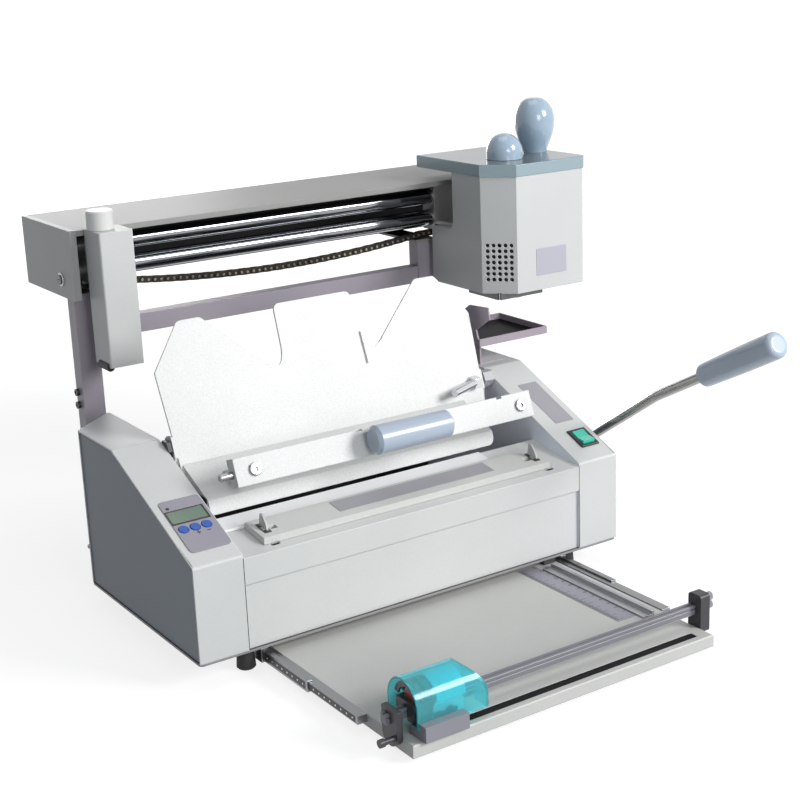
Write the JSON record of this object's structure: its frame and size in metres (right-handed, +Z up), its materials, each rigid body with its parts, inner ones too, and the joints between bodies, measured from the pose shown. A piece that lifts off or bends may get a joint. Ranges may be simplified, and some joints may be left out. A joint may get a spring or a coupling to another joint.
{
  "type": "perfect binding machine",
  "caption": "Desktop perfect binding machine: flip-over book clamp, sliding glue head on a rear beam, notcher, cover nip with side lever, and a pull-out trimmer table",
  "frame": {"origin": "on the table, under the centre of the foot at the front left", "axes": "+Z up, +X to the operator's right, +Y to the rear; the trimmer table and lever point to -Y"},
  "size_m": [0.5377, 0.5795, 0.4027],
  "materials": {
    "body_paint": "satin warm light grey powder coat",
    "side_paint": "satin mid grey recessed side panels",
    "white_paint": "white semi-gloss paint on clamp, nip and table",
    "lilac_paint": "lilac-grey paint on posts, bar and pan",
    "beam_paint": "satin grey beam cover",
    "blue_plastic": "glossy blue-grey knobs, lid and grips",
    "button_plastic": "blue buttons",
    "black_plastic": "black plastic",
    "display_glass": "display window",
    "rocker_plastic": "translucent green rocker",
    "overlay": "membrane overlay",
    "board": "circuit board",
    "rubber": "black rubber feet",
    "steel": "ground and plated steel",
    "zinc": "zinc plated steel",
    "chain_steel": "oiled dark chain steel",
    "alu": "anodised aluminium",
    "tank_alu": "cast aluminium glue tank",
    "hood": "translucent cyan plastic",
    "red_plastic": "red plastic carriage",
    "knob_white": "white knob",
    "grey_plastic": "grey plastic block"
  },
  "bodies": {
    "machine_base": {"base_plate": "side_paint", "feet": "rubber", "left_housing": "body_paint", "right_housing": "body_paint", "side_panels": "side_paint", "front_panel": "body_paint", "deck": "body_paint", "rear_panel": "body_paint", "control_plate": "overlay", "display": "display_glass", "switch_bezel": "black_plastic", "control_board": "board", "pivot_pins": "black_plastic", "posts": "lilac_paint", "cross_bar": "lilac_paint", "beam_cover": "beam_paint", "beam_ends": "beam_paint", "guide_rods": "steel", "drive_chain": "chain_steel", "drip_pan": "lilac_paint", "slide_outers": "zinc", "power_inlet": "black_plastic"},
    "nip": {"nip_bar": "white_paint", "nip_jaw": "white_paint"},
    "stop_left": {"left_stop": "zinc"},
    "stop_right": {"right_stop": "zinc"},
    "lever": {"nip_shaft": "zinc", "nip_lever": "steel", "lever_grip": "blue_plastic"},
    "clamp": {"clamp_plate": "white_paint", "rear_jaw": "white_paint", "guide_pins": "steel", "lock_rod": "steel"},
    "pressing_bar": {"clamp_bar": "white_paint", "bar_grip": "blue_plastic"},
    "glue_head": {"head_housing": "body_paint", "head_lid": "blue_plastic", "bulb_handle": "blue_plastic", "head_bearings": "alu", "glue_tank": "tank_alu"},
    "dome": {"dome_knob": "blue_plastic"},
    "roller": {"glue_roller": "zinc"},
    "notcher": {"notcher_housing": "body_paint", "notcher_bearing": "alu", "notch_cutter": "steel"},
    "notcher_dial": {"notcher_knob": "knob_white"},
    "tray": {"tray_board": "white_paint", "tray_fence": "alu", "cutter_rail": "alu", "rail_blocks": "black_plastic", "slide_inners": "zinc"},
    "slide_middle": {"slide_middles": "zinc"},
    "cutter": {"cutter_body": "red_plastic", "cutter_hood": "hood", "press_block": "grey_plastic"},
    "blade": {"cutter_wheel": "steel"},
    "rocker": {"power_rocker": "rocker_plastic"},
    "set_key": {"set_button": "button_plastic"},
    "up_key": {"up_button": "button_plastic"},
    "down_key": {"down_button": "button_plastic"}
  },
  "joints": [
    {"name": "nip_slide", "type": "slide", "parent": "machine_base", "child": "nip", "axis": [0, 0.9903, 0.1392], "range_m": [0, 0.0065]},
    {"name": "left_stop_slide", "type": "slide", "parent": "nip", "child": "stop_left", "axis": [1, 0, 0], "range_m": [0, 0.008]},
    {"name": "right_stop_slide", "type": "slide", "parent": "nip", "child": "stop_right", "axis": [-1, 0, 0], "range_m": [0, 0.008]},
    {"name": "nip_lever_turn", "type": "hinge", "parent": "machine_base", "child": "lever", "pos_m": [0.398, 0.072, 0.081], "axis": [1, 0, 0], "range_deg": [0, 40]},
    {"name": "clamp_flip", "type": "hinge", "parent": "machine_base", "child": "clamp", "pos_m": [0.166, 0.115, 0.156], "axis": [-1, 0, 0], "range_deg": [0, 170]},
    {"name": "bar_slide", "type": "slide", "parent": "clamp", "child": "pressing_bar", "axis": [0, 0.9397, -0.342], "range_m": [0, 0.0265]},
    {"name": "head_slide", "type": "slide", "parent": "machine_base", "child": "glue_head", "axis": [-1, 0, 0], "range_m": [0, 0.34]},
    {"name": "dome_turn", "type": "hinge", "parent": "glue_head", "child": "dome", "pos_m": [0.416, 0.191, 0.3487], "axis": [0, 0, 1], "range_deg": [0, 270]},
    {"name": "roller_turn", "type": "hinge", "parent": "glue_head", "child": "roller", "pos_m": [0.411, 0.184, 0.2356], "axis": [0, 1, 0], "range_deg": [0, 1010.39]},
    {"name": "notcher_slide", "type": "slide", "parent": "machine_base", "child": "notcher", "axis": [-1, 0, 0], "range_m": [-0.34, 0]},
    {"name": "notcher_dial_turn", "type": "hinge", "parent": "notcher", "child": "notcher_dial", "pos_m": [0.007, 0.235, 0.33], "axis": [0, 0, 1], "range_deg": [0, 300]},
    {"name": "tray_slide", "type": "slide", "parent": "machine_base", "child": "tray", "axis": [0, 1, 0], "range_m": [0, 0.14]},
    {"name": "slide_middle_slide", "type": "slide", "parent": "machine_base", "child": "slide_middle", "axis": [0, 1, 0], "range_m": [0, 0.07]},
    {"name": "cutter_slide", "type": "slide", "parent": "tray", "child": "cutter", "axis": [1, 0, 0], "range_m": [0, 0.205]},
    {"name": "blade_turn", "type": "hinge", "parent": "cutter", "child": "blade", "pos_m": [0.058, -0.201, 0.0282], "axis": [0, 1, 0], "range_deg": [0, 839.47]},
    {"name": "rocker_tilt", "type": "hinge", "parent": "machine_base", "child": "rocker", "pos_m": [0.3633, 0.01178, 0.11362], "axis": [-1, 0, 0], "range_deg": [0, 10]},
    {"name": "set_press", "type": "slide", "parent": "machine_base", "child": "set_key", "axis": [0, 0.3941, -0.9191], "range_m": [0, 0.0008], "stiffness_N_per_m": 400},
    {"name": "up_press", "type": "slide", "parent": "machine_base", "child": "up_key", "axis": [0, 0.3941, -0.9191], "range_m": [0, 0.0008], "stiffness_N_per_m": 400},
    {"name": "down_press", "type": "slide", "parent": "machine_base", "child": "down_key", "axis": [0, 0.3941, -0.9191], "range_m": [0, 0.0008], "stiffness_N_per_m": 400}
  ],
  "couplings": [
    {"joint": "nip_slide", "follows": "nip_lever_turn", "m_per_rad": 0.009311},
    {"joint": "roller_turn", "follows": "head_slide", "rad_per_m": 51.841},
    {"joint": "slide_middle_slide", "follows": "tray_slide", "ratio": 0.5},
    {"joint": "blade_turn", "follows": "cutter_slide", "rad_per_m": 71.429}
  ]
}
